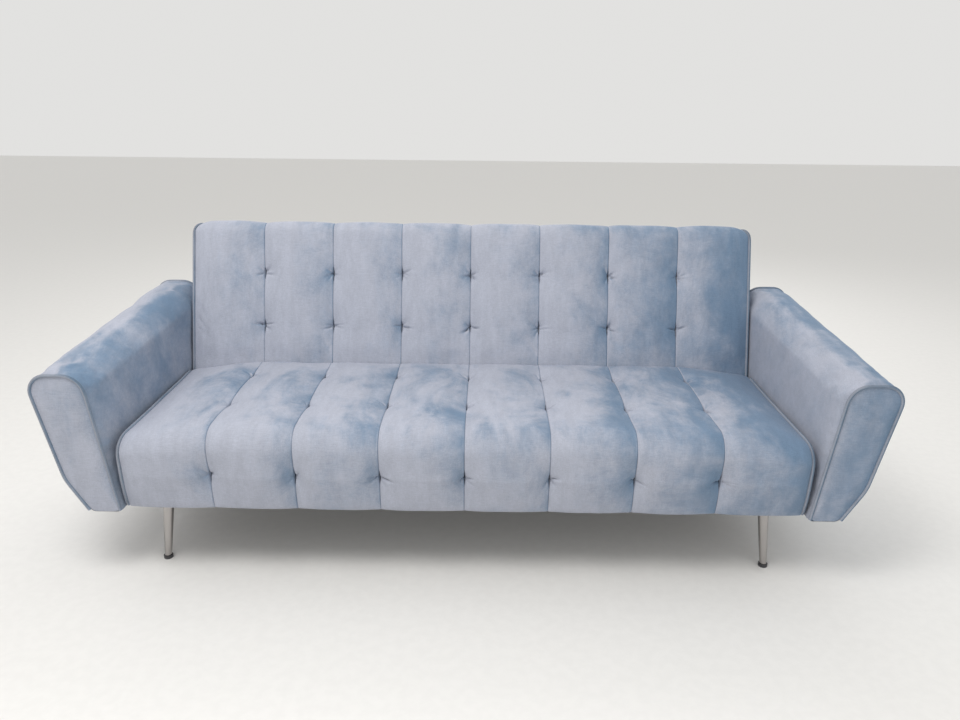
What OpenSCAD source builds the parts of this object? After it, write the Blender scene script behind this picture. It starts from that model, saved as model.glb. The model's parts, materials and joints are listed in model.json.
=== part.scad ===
// Click-clack futon sofa bed: a channelled seat and a reclining back between two splayed arms,
// on four round tapered legs. Millimetres, +Z up, the sitter faces -Y.
// Left and right are as seen by someone who stands in front of the sofa: right is +X.

/* [Seat] */
// Width of the seat upholstery, piping included
seat_w = 1706; // [1400:1:2100]
// Height of the seat's top face over the floor
seat_h = 405; // [400:1:490]
// How much lower the seat's top edge is at its two ends
seat_end_drop = 21; // [0:1:35]
// Depth of the seat's top face, front to back
seat_depth = 527; // [440:1:640]
// Height of the upholstery's lower edge over the floor
under_h = 190; // [165:1:238]
// Radius of the seat's front top edge
seat_nose_r = 52; // [20:1:70]
// How far the front face draws back at its lower edge
front_undercut = 20; // [5:1:30]

/* [Back] */
// How far the back's ends stop short of the seat's ends
back_inset = 1; // [0:0.5:8]
// Lean of the back from vertical when it is up
recline = 17.5; // [12:0.5:28]
// Length of the back above its pivot
back_len = 486; // [400:1:600]
// Length of the back below its pivot
back_tail = 50; // [42:1:56]
// Thickness of the back
back_thick = 150; // [130:1:166]
// Distance from the pivot to the back's front face
pivot_depth = 88; // [80:1:96]
// Gap between the seat and the back
back_gap = 6; // [4:0.5:12]

/* [Arms] */
// Height of an arm at its front
arm_front_h = 552; // [500:1:640]
// Height of an arm at its rear
arm_rear_h = 616; // [540:1:700]
// Length of an arm with its end panels
arm_len = 694; // [600:1:790]
// How far an arm's front stands ahead of the seat's front face
arm_ahead = 8; // [0:1:20]
// Width of an arm at its foot
arm_foot_w = 78; // [64:1:110]
// Width of an arm at its top, before its edges are rounded
arm_top_w = 138; // [110:1:180]
// How far an arm's inner face leans out from foot to top, at its front
arm_lean = 46; // [20:1:70]
// How far an arm's inner face leans out from foot to top, at its rear
arm_rear_lean = 3; // [0:1:70]
// Width of an arm at its outer knee
arm_knee_w = 130; // [110:1:150]
// Height of the knee over the arm's foot
arm_knee_h = 94; // [60:1:130]
// Radius of an arm's upper edges
arm_edge_r = 46; // [20:1:56]
// Height of an arm's foot over the floor
arm_foot_h = 184; // [160:1:190]
// Gap between the seat's end and an arm
arm_gap = 4; // [3:0.5:10]

/* [Upholstery] */
// Thickness of the fabric covers
cover_t = 3; // [2:0.5:5]
// Width of the piping cord
pipe_w = 8; // [5:1:10]
// Thickness of the foam round wooden parts
wrap_t = 16; // [10:1:18]

/* [Frame] */
// Thickness of the wooden rails
rail_t = 20; // [16:1:24]
// Height of the seat's rails
rail_h = 72; // [60:1:90]
// Height of the rails that pass below the back
low_rail_h = 32; // [25:1:34]
// How far the base reaches behind the back's pivot
base_behind = 79; // [76:1:120]
// Length of a corner block
block_len = 62; // [56:1:74]
// Thickness of the back's wooden frame, front to back
back_frame_t = 45; // [36:1:46]
// Width of the back's wooden members
back_member_w = 40; // [30:1:44]
// Number of seat springs
seat_springs_n = 8; // [4:1:10]
// Number of back springs
back_springs_n = 6; // [4:1:8]
// Wire size of the springs
wire = 4; // [3:0.5:5]

/* [Legs] */
// Distance of each leg's top from the inner face of its side rail
leg_inset = 48; // [20:1:120]
// Distance of the front legs from the seat's front face
leg_front_y = 82; // [76:1:120]
// Diameter of a leg at its top
leg_top_d = 30; // [26:0.5:40]
// Diameter of a leg at its foot
leg_foot_d = 18; // [16:0.5:26]
// How far a leg's foot stands outside its top
leg_splay = 23; // [0:1:40]
// Wall of a leg tube
leg_wall = 1.5; // [1:0.5:3]
// Diameter of a foot glide
glide_d = 24; // [20:0.5:36]
// Height of a foot glide
glide_h = 8; // [5:1:12]
// Side of a leg's square mounting plate
plate_w = 54; // [46:1:56]
// Thickness of a leg's mounting plate
plate_t = 3; // [2:0.5:4]

/* [Hinge] */
// Thickness of the hinge plates
hinge_t = 4; // [3:0.5:5]
// Radius of the pivot pin
pin_r = 6; // [5:0.5:8]
// Radius of the hinge plates round the pin
hinge_r = 21; // [18:1:24]
// Radius of the ratchet
ratchet_r = 30; // [28:1:32]
// Depth of the ratchet's notches
notch = 4; // [3:0.5:5]

/* [Hidden] */

// Clearances and small sizes that many pieces share
fit = 0.3;              // between pieces that only lie against each other
run = 0.05;             // radial, round a turning pin
past = 1;               // how far a cut runs past the face it opens
head_t = 4;             // thickness of a bolt's head or nut
facets = 48;            // segments of a full circle
arc_step = 15;          // degrees of a profile corner's arc to a segment, at most

// Sizes that follow the seat
seat_end_h = seat_h - seat_end_drop;
back_w = seat_w - 2 * back_inset;

// Pivot of the back: its front face lies flush with the seat when the back is flat
pivot_z = seat_h - pivot_depth;
face_y = seat_depth + back_gap / cos(recline);
pivot_y = face_y + pivot_depth * (cos(recline) - (1 - sin(recline)) * tan(recline));
back_rear = back_thick - pivot_depth;        // pivot to the back's rear face

// Base: where the wood and the legs are
base_depth = pivot_y + base_behind;
base_z = under_h + 2;
rail_top = base_z + rail_h;
low_top = base_z + low_rail_h;
side_x = seat_w / 2 - pipe_w - cover_t - fit - rail_t;   // inner face of a side rail
leg_x = side_x - leg_inset;
front_rail_y = front_undercut + 2 * cover_t + fit;
block_past = 6;         // how far a corner block reaches past a leg's plate
leg_rear_y = base_depth - rail_t - block_len / 2 + block_past;
seat_back_y0 = seat_depth - (seat_h - under_h) * tan(recline);   // seat's rear face, lower edge
middle_rail_y = seat_back_y0 - rail_t - 2 * cover_t;
block_w = side_x - leg_x + plate_w / 2 + block_past;
foot_x = leg_x + leg_splay;

// Hinge layers, from the side rail inwards
seat_plate_x = side_x - hinge_t;
back_plate_x = seat_plate_x - 1 - hinge_t;
stile_w = rail_t + 5;
stile_x = back_plate_x - stile_w;            // inner face of a back's side stile
pawl_s = 45;            // pawl pin, above the pivot along the back
pawl_f = 22;            // pawl pin, ahead of the pivot
pawl_pin_r = 4;
pawl_eye_r = 8;         // radius of a pawl round its pin
pawl_t = 3;
pawl_lift = 0.6;        // gap between a lifted pawl's nose and the ratchet's rim
nose_w = 6;             // width of a pawl's nose
notch_w = 11;

// Arms
arm_x = seat_w / 2 + arm_gap;
arm_y0 = -arm_ahead;
arm_y1 = arm_y0 + arm_len;
bolt_r = 4;
bolt_end = 8;           // how far an arm's bolt reaches inside its side rail
bolt_hole_r = bolt_r + 1;
arm_bolt_z = base_z + rail_h / 2;
arm_bolt_y = [130, min(400, middle_rail_y - 3 * bolt_r)];
arm_rail_w = 20;
arm_rail_h = 62;

// Springs
wave = 48;              // length of one wave of a zigzag spring
swing = 21;             // half the width of a zigzag spring

function unit(v) = v / norm(v);
function xy(p) = [p[0], p[1]];
function turn(v) = [-v[1], v[0]];
function cross2(a, b) = a[0] * b[1] - a[1] * b[0];
function meet(p, d, q, e) = p + d * cross2(q - p, e) / cross2(d, e);
function at(list, i) = list[(i + len(list)) % len(list)];

// One corner [x, y, radius] of a profile, as the points of its arc
function corner(before, here, after) =
    here[2] <= 0 ? [xy(here)] :
    let (a = unit(xy(before) - xy(here)),
         b = unit(xy(after) - xy(here)),
         half = acos(a * b) / 2,
         c = xy(here) + unit(a + b) * here[2] / sin(half),
         from = xy(here) + a * here[2] / tan(half) - c,
         to = xy(here) + b * here[2] / tan(half) - c,
         sweep = atan2(cross2(from, to), from * to),
         start = atan2(from[1], from[0]),
         n = ceil(abs(sweep) / arc_step))
    [for (k = [0 : n]) c + here[2] * [cos(start + sweep * k / n), sin(start + sweep * k / n)]];

function rounded(profile) = [for (i = [0 : len(profile) - 1])
    each corner(at(profile, i - 1), profile[i], at(profile, i + 1))];

// The profile with every side moved in by d; its corners run anticlockwise
function inset(profile, d) = [for (i = [0 : len(profile) - 1])
    let (here = xy(profile[i]),
         into = unit(here - xy(at(profile, i - 1))),
         out = unit(xy(at(profile, i + 1)) - here),
         p = meet(here + turn(into) * d, into, here + turn(out) * d, out))
    [p[0], p[1], max(profile[i][2] - d, 0)]];

// Side view of the seat, [y, z, radius], for a top face at height h
hem_r = 6;
seat_rear_r = 14;
front_knee_h = 100;      // where the front face starts to draw back, over the seat's lower edge
front_knee_r = 60;
function seat_profile(h) = [
    [front_undercut, under_h, hem_r],
    [seat_back_y0, under_h, hem_r],
    [seat_depth - (seat_h - h) * tan(recline), h, seat_rear_r],
    [0, h, seat_nose_r],
    [0, under_h + front_knee_h, front_knee_r]];

// Side view of the back from its pivot, [y, z, radius], as it stands without its lean
back_low_r = 40;         // lower front edge, which swings past the seat
back_rear_low_r = 10;
back_rear_top_r = 20;
back_top_r = 30;
function back_profile() = [
    [-pivot_depth, -back_tail, back_low_r],
    [back_rear, -back_tail, back_rear_low_r],
    [back_rear, back_len, back_rear_top_r],
    [-pivot_depth, back_len, back_top_r]];

// End view of the right arm at y, [x, z, radius]. Its top rises towards the rear, and its
// sides lean out less there.
arm_foot_r = 16;
arm_knee_r = 110;
function along_arm(y) = (y - arm_y0) / arm_len;
function arm_h(y) = arm_front_h + (arm_rear_h - arm_front_h) * along_arm(y);
function arm_lean_at(y) = arm_lean + (arm_rear_lean - arm_lean) * along_arm(y);
function arm_profile(y) = [
    [arm_x, arm_foot_h, hem_r],
    [arm_x + arm_foot_w, arm_foot_h, arm_foot_r],
    [arm_x + arm_knee_w, arm_foot_h + arm_knee_h, arm_knee_r],
    [arm_x + arm_lean_at(y) + arm_top_w, arm_h(y), arm_edge_r],
    [arm_x + arm_lean_at(y), arm_h(y), arm_edge_r]];
inner_slope = max(arm_lean, arm_rear_lean) / (arm_front_h - arm_foot_h);
arm_rail_x = arm_x + (wrap_t + arm_rail_h) * inner_slope + cover_t + wrap_t / 2 + 2;

// The origin is the middle of the sofa's box, on the floor
rear_y = max([for (p = rounded(inset(back_profile(), -pipe_w / 2)))
    pivot_y + p[0] * cos(recline) + p[1] * sin(recline)]);
origin_y = (rear_y + arm_y0) / 2;

module upright(y0, t) {
    translate([0, y0 + t, 0]) rotate([90, 0, 0]) linear_extrude(t) children();
}

module along_x(x0, t) {
    translate([x0, 0, 0]) rotate([90, 0, 90]) linear_extrude(t) children();
}

module rod(x0, length, r) {
    translate([x0, 0, 0]) rotate([0, 90, 0]) cylinder(h = length, r = r, $fn = facets);
}

// A box between two corners
module block(a, b) {
    translate(a) cube(b - a);
}

module placed() {
    translate([0, -origin_y, 0]) children();
}

module on_side(side) {
    mirror([side < 0 ? 1 : 0, 0, 0]) children();
}

module both() {
    for (side = [-1, 1]) on_side(side) children();
}

module in_back() {
    translate([0, pivot_y, pivot_z]) rotate([-recline, 0, 0]) children();
}

// ---- Base frame ----

module front_rail() {
    color("burlywood") placed()
        block([-side_x, front_rail_y, base_z], [side_x, front_rail_y + rail_t, rail_top]);
}

module middle_rail() {
    color("burlywood") placed()
        block([-side_x, middle_rail_y, base_z], [side_x, middle_rail_y + rail_t, rail_top]);
}

module rear_rail() {
    color("burlywood") placed()
        block([-side_x, base_depth - rail_t, base_z], [side_x, base_depth, low_top]);
}

hinge_foot = 44;        // half the length of the hinge plate's foot
hinge_bolt_z = base_z + low_rail_h / 2;
hinge_bolt_dy = [-32, 0, 32];
hinge_bolt_r = 3;

module side_rail(side) {
    color("burlywood") placed() on_side(side) difference() {
        union() {
            block([side_x, front_rail_y, base_z],
                [side_x + rail_t, middle_rail_y + rail_t, rail_top]);
            block([side_x, middle_rail_y, base_z], [side_x + rail_t, base_depth, low_top]);
        }
        for (y = arm_bolt_y)
            translate([0, y, arm_bolt_z]) rod(side_x - past, rail_t + 2 * past, bolt_r);
        for (dy = hinge_bolt_dy)
            translate([0, pivot_y + dy, hinge_bolt_z])
                rod(side_x - past, rail_t + 2 * past, hinge_bolt_r);
    }
}

strut_x = [-side_x / 3, side_x / 3];

module centre_struts() {
    color("burlywood") placed() for (x = strut_x)
        block([x - rail_t / 2, front_rail_y + rail_t, base_z],
            [x + rail_t / 2, middle_rail_y, rail_top - 2 * rail_t]);
}

leg_y = [leg_front_y, leg_rear_y];
screw_r = 2;
screw_len = 22;
screw_head_t = 2;
screw_facets = 24;
screw_d = plate_w / 2 - 8;   // from a leg plate's middle to its screws, along each side

module at_leg_screws() {
    for (x = [-leg_x, leg_x], y = leg_y, dx = [-screw_d, screw_d], dy = [-screw_d, screw_d])
        translate([x + dx, y + dy, 0]) children();
}

module corner_blocks() {
    color("tan") placed() difference() {
        both() for (y = leg_y)
            block([side_x - block_w, max(y - block_len / 2, front_rail_y + rail_t), base_z],
                [y > leg_front_y ? back_plate_x : side_x,
                 min(y + block_len / 2, base_depth - rail_t), low_top]);
        at_leg_screws() translate([0, 0, base_z - past])
            cylinder(h = screw_len - plate_t + past, r = screw_r, $fn = screw_facets);
    }
}

// A flat zigzag spring of a length along +Y, with its ends on the line x = 0
module zigzag(length) {
    n = 12 * round(length / wave);
    mid = [for (k = [0 : n]) [swing * sin(360 * k / 12), length * k / n]];
    side = [for (k = [0 : n])
        turn(unit(mid[min(k + 1, n)] - mid[max(k - 1, 0)])) * wire / 2];
    linear_extrude(wire) polygon(concat(
        [for (k = [0 : n]) mid[k] - side[k]], [for (k = [n : -1 : 0]) mid[k] + side[k]]));
}

spring_z = rail_top + fit;

module seat_springs() {
    spacing = 2 * side_x / seat_springs_n;
    color("dimgray") placed() for (i = [0 : seat_springs_n - 1])
        translate([-side_x + spacing * (i + 0.5), front_rail_y + rail_t / 2, spring_z])
            zigzag(middle_rail_y - front_rail_y);
}

// ---- Seat upholstery ----

seat_end_run = 150;     // how far from each end the seat's top starts to fall

// The seat's outer shape, moved in by d: full height in the middle and lower at its ends
module seat_solid(d) {
    end_x = seat_w / 2 - pipe_w - d;
    crown_x = seat_w / 2 - seat_end_run;
    hull() {
        along_x(-crown_x, 2 * crown_x) polygon(rounded(inset(seat_profile(seat_h), d)));
        along_x(-end_x, 2 * end_x) polygon(rounded(inset(seat_profile(seat_end_h), d)));
    }
}

module seat_foam() {
    color("lightyellow") placed() difference() {
        seat_solid(cover_t + fit);
        block([-seat_w, front_rail_y - fit, 0], [seat_w, seat_depth, spring_z + wire + fit]);
    }
}

module seat_cover() {
    color("lightsteelblue") placed() difference() {
        seat_solid(0);
        seat_solid(cover_t);
        block([-side_x - rail_t - fit, front_undercut + 2 * cover_t, 0],
            [side_x + rail_t + fit, seat_depth, low_top + fit]);
        both() for (y = arm_bolt_y)
            translate([0, y, arm_bolt_z]) rod(side_x, rail_t + pipe_w, bolt_hole_r);
    }
}

module seat_end_panel(side) {
    x0 = seat_w / 2 - pipe_w + fit;
    color("lightsteelblue") placed() on_side(side) difference() {
        along_x(x0, pipe_w - 2 * fit)
            polygon(rounded(inset(seat_profile(seat_end_h), pipe_w / 2 + fit)));
        for (y = arm_bolt_y) translate([0, y, arm_bolt_z]) rod(x0 - past, pipe_w + past, bolt_hole_r);
    }
}

module seat_piping(side) {
    color("slategray") placed() on_side(side) difference() {
        along_x(seat_w / 2 - pipe_w + fit, pipe_w - fit) difference() {
            polygon(rounded(inset(seat_profile(seat_end_h), -pipe_w / 2)));
            polygon(rounded(inset(seat_profile(seat_end_h), pipe_w / 2)));
        }
        block([0, -seat_depth, 0], [seat_w, seat_depth * 2, under_h + pipe_w / 2]);
        block([0, seat_depth / 2, 0], [seat_w, seat_depth * 2, seat_end_h - pipe_w]);
    }
}

module rear_apron() {
    color("lightsteelblue") placed()
        block([-side_x - rail_t, base_depth + fit, under_h],
            [side_x + rail_t, base_depth + fit + cover_t, low_top]);
}

plate_cut = plate_w + 4;     // side of the square hole round a leg's plate

module dust_cover() {
    color("black") placed() difference() {
        block([-side_x - rail_t / 2, front_rail_y + fit, under_h],
            [side_x + rail_t / 2, base_depth, base_z - fit]);
        for (x = [-leg_x, leg_x], y = leg_y)
            block([x - plate_cut / 2, y - plate_cut / 2, under_h - past],
                [x + plate_cut / 2, y + plate_cut / 2, base_z]);
    }
}

// ---- Legs ----

leg_h = base_z - plate_t - glide_h;
leg_over = 5;           // how far a leg's tube is made past each end, before it is cut level

// A tapered round bar along a leg's axis, thinner than the leg by 2 * t
module leg_bar(t, from) {
    length = norm([leg_h, leg_splay]);
    rotate([0, -atan(leg_splay / leg_h), 0]) translate([0, 0, from])
        cylinder(h = length + leg_over - from, d1 = leg_foot_d - 2 * t, d2 = leg_top_d - 2 * t,
            $fn = facets);
}

module leg(side, y) {
    color("silver") placed() on_side(side) translate([foot_x, y, glide_h]) intersection() {
        difference() {
            leg_bar(0, -leg_over);
            leg_bar(leg_wall, leg_wall);
        }
        translate([-leg_inset - leg_splay, -leg_top_d, 0])
            cube([2 * (leg_inset + leg_splay), 2 * leg_top_d, leg_h]);
    }
}

module leg_plates() {
    color("silver") placed() difference() {
        for (x = [-leg_x, leg_x], y = leg_y)
            translate([x, y, base_z - plate_t / 2])
                cube([plate_w, plate_w, plate_t], center = true);
        at_leg_screws() translate([0, 0, base_z - plate_t - past])
            cylinder(h = plate_t + 2 * past, r = screw_r, $fn = screw_facets);
    }
}

module leg_screws() {
    color("dimgray") placed() at_leg_screws() {
        translate([0, 0, base_z - plate_t - screw_head_t])
            cylinder(h = screw_head_t, r = 2 * screw_r, $fn = screw_facets);
        translate([0, 0, base_z - plate_t - past])
            cylinder(h = screw_len - screw_head_t, r = screw_r, $fn = screw_facets);
    }
}

module leg_glides() {
    color("dimgray") placed() for (x = [-foot_x, foot_x], y = leg_y)
        translate([x, y, 0]) cylinder(h = glide_h, d = glide_d, $fn = facets);
}

// ---- Arms ----

// A solid between two outlines with the same number of points, at y0 and y1
module loft(front, rear, y0, y1) {
    n = len(front);
    polyhedron(
        points = concat([for (p = front) [p[0], y0, p[1]]], [for (p = rear) [p[0], y1, p[1]]]),
        faces = concat([[for (i = [n - 1 : -1 : 0]) i]], [[for (i = [n : 2 * n - 1]) i]],
            [for (i = [0 : n - 1]) [i, (i + 1) % n, n + (i + 1) % n]],
            [for (i = [0 : n - 1]) [i, n + (i + 1) % n, n + i]]));
}

// The right arm's outer shape between two depths, moved in by d
module arm_solid(d, y0, y1) {
    loft(rounded(inset(arm_profile(y0), d)), rounded(inset(arm_profile(y1), d)), y0, y1);
}

module arm_bolt_holes(r) {
    for (y = arm_bolt_y)
        translate([0, y, arm_bolt_z]) rod(arm_x - 2 * pipe_w, arm_foot_w, r);
}

arm_in_y0 = arm_y0 + pipe_w;
arm_in_y1 = arm_y1 - pipe_w;
former_t = 12;
former_gap = 3;         // between a former and the end of its cover
former_hole_r = 24;
former_low_hole_r = 18;
hole_aside = 12;        // how far the upper hole lies outside the lower one
top_rail_w = 60;
top_rail_h = 20;
top_rail_drop = 44;     // from the arm's top to the underside of its top rail

module arm_cover(side) {
    color("lightsteelblue") placed() on_side(side) difference() {
        arm_solid(0, arm_in_y0, arm_in_y1);
        arm_solid(cover_t, arm_in_y0 + cover_t, arm_in_y1 - cover_t);
        block([arm_x + 2 * cover_t, arm_in_y0 + 2 * cover_t, 0],
            [arm_x + arm_foot_w - 2 * cover_t, arm_in_y1 - 2 * cover_t, arm_foot_h + 2 * cover_t]);
        arm_bolt_holes(bolt_hole_r);
    }
}

module arm_foam(side) {
    in = cover_t + fit;
    color("lightyellow") placed() on_side(side) difference() {
        arm_solid(in, arm_in_y0 + in, arm_in_y1 - in);
        arm_solid(in + wrap_t / 2, arm_in_y0 + in + 2, arm_in_y1 - in - 2);
        block([arm_x + 4 * cover_t, arm_in_y0 + 2 * in, 0],
            [arm_x + arm_foot_w - 4 * cover_t, arm_in_y1 - 2 * in, arm_foot_h + wrap_t]);
        arm_bolt_holes(bolt_hole_r);
    }
}

// A plywood former, lightened by two holes
module arm_former(y) {
    h = arm_h(y);
    lean = arm_lean_at(y);
    upright(y, former_t) difference() {
        polygon(rounded(inset(arm_profile(y), wrap_t + 2)));
        translate([arm_x + (arm_top_w + lean) / 2 + hole_aside, h - 2 * arm_foot_w])
            circle(r = former_hole_r, $fn = facets);
        translate([arm_x + (arm_top_w + lean) / 2, (arm_foot_h + h) / 2 - former_hole_r])
            circle(r = former_low_hole_r, $fn = facets);
    }
}

module arm_formers(side) {
    in = cover_t + former_gap;
    color("burlywood") placed() on_side(side) {
        arm_former(arm_in_y0 + in);
        arm_former(arm_in_y1 - in - former_t);
    }
}

// A thin slice of the top rail at y
module top_rail_slice(y) {
    x = arm_x + arm_lean_at(y) + (arm_top_w - top_rail_w) / 2;
    z = arm_h(y) - top_rail_drop;
    block([x, y, z], [x + top_rail_w, y + 1, z + top_rail_h]);
}

// Bottom rail, which the bolts hold, and top rail, which follows the slope of the arm
module arm_rails(side) {
    y0 = arm_in_y0 + cover_t + former_gap + former_t;
    y1 = arm_in_y1 - cover_t - former_gap - former_t;
    z0 = arm_foot_h + wrap_t;
    color("burlywood") placed() on_side(side) {
        difference() {
            block([arm_rail_x, y0, z0], [arm_rail_x + arm_rail_w, y1, z0 + arm_rail_h]);
            arm_bolt_holes(bolt_r);
        }
        hull() {
            top_rail_slice(y0);
            top_rail_slice(y1 - 1);
        }
    }
}

module arm_bolts() {
    head_x = arm_rail_x + arm_rail_w;
    color("dimgray") placed() both() for (y = arm_bolt_y) translate([0, y, arm_bolt_z]) {
        rod(side_x - bolt_end, head_x - side_x + bolt_end, bolt_r);
        rod(head_x, head_t, 2 * bolt_r);
        rod(side_x - head_t, head_t, 2 * bolt_r);
    }
}

// A piped end: the padded panel inside its cord
module arm_end_panel(y0, at_y) {
    upright(y0, pipe_w - fit) polygon(rounded(inset(arm_profile(at_y), pipe_w / 2 + fit)));
}

module arm_end_cord(y0, at_y) {
    upright(y0, pipe_w - fit) difference() {
        polygon(rounded(inset(arm_profile(at_y), -pipe_w / 2)));
        polygon(rounded(inset(arm_profile(at_y), pipe_w / 2)));
        translate([arm_x - arm_foot_w, arm_foot_h - arm_foot_w]) square([3 * arm_foot_w, arm_foot_w]);
    }
}

module arm_front_panel(side) {
    color("lightsteelblue") placed() on_side(side) arm_end_panel(arm_y0, arm_y0);
}

module arm_rear_panel(side) {
    color("lightsteelblue") placed() on_side(side) arm_end_panel(arm_in_y1 + fit, arm_y1);
}

module arm_piping(side) {
    color("slategray") placed() on_side(side) {
        arm_end_cord(arm_y0, arm_y0);
        arm_end_cord(arm_in_y1 + fit, arm_y1);
    }
}

// ---- Hinges ----

foot_z0 = base_z + 2;        // lower and upper edges of the hinge plate's foot
foot_z1 = low_top - 6;
neck_z = low_top + 4;        // where the plate narrows to its neck

module seat_hinge_plate(side) {
    color("darkgray") placed() on_side(side) difference() {
        union() {
            translate([0, pivot_y, pivot_z]) rod(seat_plate_x, hinge_t, hinge_r);
            along_x(seat_plate_x, hinge_t) polygon([
                [pivot_y - hinge_foot, foot_z0], [pivot_y + hinge_foot, foot_z0],
                [pivot_y + hinge_foot, foot_z1], [pivot_y + hinge_r, neck_z],
                [pivot_y + hinge_r, pivot_z], [pivot_y - hinge_r, pivot_z],
                [pivot_y - hinge_r, neck_z], [pivot_y - hinge_foot, foot_z1]]);
        }
        translate([0, pivot_y, pivot_z]) rod(seat_plate_x - past, hinge_t + 2 * past, pin_r);
        for (dy = hinge_bolt_dy)
            translate([0, pivot_y + dy, hinge_bolt_z])
                rod(seat_plate_x - past, hinge_t + 2 * past, hinge_bolt_r);
    }
}

module hinge_pins() {
    nut_x = back_plate_x - fit - pin_r;
    color("silver") placed() both() translate([0, pivot_y, pivot_z]) {
        rod(nut_x, side_x - nut_x, pin_r);
        rod(side_x, head_t, 1.5 * pin_r);
        rod(nut_x, pin_r, 1.5 * pin_r);
    }
}

module seat_hinge_bolts() {
    color("dimgray") placed() both() for (dy = hinge_bolt_dy)
        translate([0, pivot_y + dy, hinge_bolt_z]) {
            rod(seat_plate_x, hinge_t + rail_t + head_t, hinge_bolt_r);
            rod(side_x + rail_t, head_t, 2 * hinge_bolt_r);
        }
}

stops = [for (k = [0, 1, 2]) (90 - recline) * k / 2];   // flat, lounge and upright

ratchet_bore_r = 1.5 * pin_r + 1;      // clears the head of the hinge pin

module ratchet(side) {
    on_side(side) translate([side_x + fit, pivot_y, pivot_z]) rotate([90, 0, 90])
        linear_extrude(pawl_t) difference() {
            circle(r = ratchet_r, $fn = 2 * facets);
            circle(r = ratchet_bore_r, $fn = facets);
            for (a = stops) rotate(a) translate([ratchet_r - notch, -notch_w / 2])
                square([2 * notch, notch_w]);
            translate([-2 * ratchet_r, -2 * ratchet_r - hinge_r]) square(4 * ratchet_r * [1, 0.5]);
        }
}

module ratchets() {
    color("gray") placed() {
        ratchet(-1);
        ratchet(1);
    }
}

plate_bolt_s = [60, 100, 140];
plate_mid = back_rear - cover_t - back_frame_t / 2;
strap_w = 36;           // width and top of the strap bolted to the back's stile
strap_top = 158;

module back_hinge_plate(side) {
    color("darkgray") placed() in_back() on_side(side) difference() {
        union() {
            rod(back_plate_x, hinge_t, hinge_r - 1);
            along_x(back_plate_x, hinge_t) polygon([
                [-2 * hinge_r / 3, 2 * hinge_r / 3], [-4 * hinge_r / 5, hinge_r / 5],
                [-pawl_f - pawl_eye_r, pawl_s - pawl_eye_r / 2],
                [-pawl_f, pawl_s + pawl_eye_r + 2], [plate_mid - strap_w / 2, pawl_s + hinge_r],
                [plate_mid - strap_w / 2, strap_top], [plate_mid + strap_w / 2, strap_top],
                [plate_mid + strap_w / 2, strap_w], [3 * hinge_r / 4, -2 * hinge_r / 5], [0, 0]]);
        }
        rod(back_plate_x - past, hinge_t + 2 * past, pin_r + run);
        translate([0, -pawl_f, pawl_s]) rod(back_plate_x - past, hinge_t + 2 * past, pawl_pin_r);
        for (s = plate_bolt_s) translate([0, plate_mid, s])
            rod(back_plate_x - past, hinge_t + 2 * past, hinge_bolt_r);
    }
}

module back_hinge_bolts() {
    color("dimgray") placed() in_back() both() for (s = plate_bolt_s)
        translate([0, plate_mid, s]) {
            rod(stile_x - head_t, stile_w + hinge_t + head_t, hinge_bolt_r);
            rod(back_plate_x + hinge_t, head_t - past, 2 * hinge_bolt_r);
            rod(stile_x - head_t, head_t, 2 * hinge_bolt_r);
        }
}

module pawl_pins() {
    color("silver") placed() in_back() both() translate([0, -pawl_f, pawl_s]) {
        rod(back_plate_x, side_x + pawl_t + 2 * past - back_plate_x, pawl_pin_r);
        rod(side_x + pawl_t + past, 2 * past, pawl_pin_r + 1.5);
    }
}

// The pawl is drawn lifted, its nose just clear of the ratchet's rim
module pawl(side) {
    nose = ratchet_r + pawl_lift;
    color("gray") placed() in_back() on_side(side) difference() {
        union() {
            translate([0, -pawl_f, pawl_s]) rod(side_x + fit, pawl_t, pawl_eye_r);
            along_x(side_x + fit, pawl_t) polygon([
                [-pawl_f - nose_w / 2, pawl_s - pawl_eye_r + 1],
                [-nose_w / 2 - 1, nose + nose_w / 2], [-nose_w / 2, nose], [nose_w / 2, nose],
                [nose_w / 2 + 1, nose + nose_w + 1], [-pawl_f + 4, pawl_s + pawl_eye_r - 1]]);
        }
        translate([0, -pawl_f, pawl_s]) rod(side_x - past, pawl_t + 3 * past, pawl_pin_r + run);
    }
}

// ---- Back ----

frame_y0 = back_rear - cover_t - 2 - back_frame_t;    // front of the back's wooden frame
frame_z0 = -back_tail + cover_t + 3;
frame_z1 = back_len - cover_t - wrap_t;

module back_top_rail() {
    color("burlywood") placed() in_back()
        block([-stile_x, frame_y0, frame_z1 - back_member_w],
            [stile_x, frame_y0 + back_frame_t, frame_z1]);
}

module back_bottom_rail() {
    color("burlywood") placed() in_back()
        block([-stile_x, frame_y0, frame_z0],
            [stile_x, frame_y0 + back_frame_t, frame_z0 + back_member_w]);
}

module back_stiles() {
    color("burlywood") placed() in_back() both() {
        difference() {
            block([stile_x, frame_y0, frame_z0],
                [stile_x + stile_w, frame_y0 + back_frame_t, frame_z1]);
            for (s = plate_bolt_s) translate([0, plate_mid, s])
                rod(stile_x - past, stile_w + 2 * past, hinge_bolt_r);
        }
        block([stile_x / 3 - stile_w / 2, frame_y0, frame_z0 + back_member_w],
            [stile_x / 3 + stile_w / 2, frame_y0 + back_frame_t, frame_z1 - back_member_w]);
    }
}

module back_springs() {
    spacing = 2 * stile_x / back_springs_n;
    color("dimgray") placed() in_back() for (i = [0 : back_springs_n - 1])
        translate([-stile_x + spacing * (i + 0.5), frame_y0 - fit, frame_z0 + back_member_w / 2])
            rotate([90, 0, 0]) zigzag(frame_z1 - frame_z0 - back_member_w);
}

module back_solid(d) {
    end_x = back_w / 2 - pipe_w - d;
    along_x(-end_x, 2 * end_x) polygon(rounded(inset(back_profile(), d)));
}

slot_gap = 4;           // clearance round the seat's hinge plate

// Room for that plate to swing through the back's lower rear corner

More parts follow.
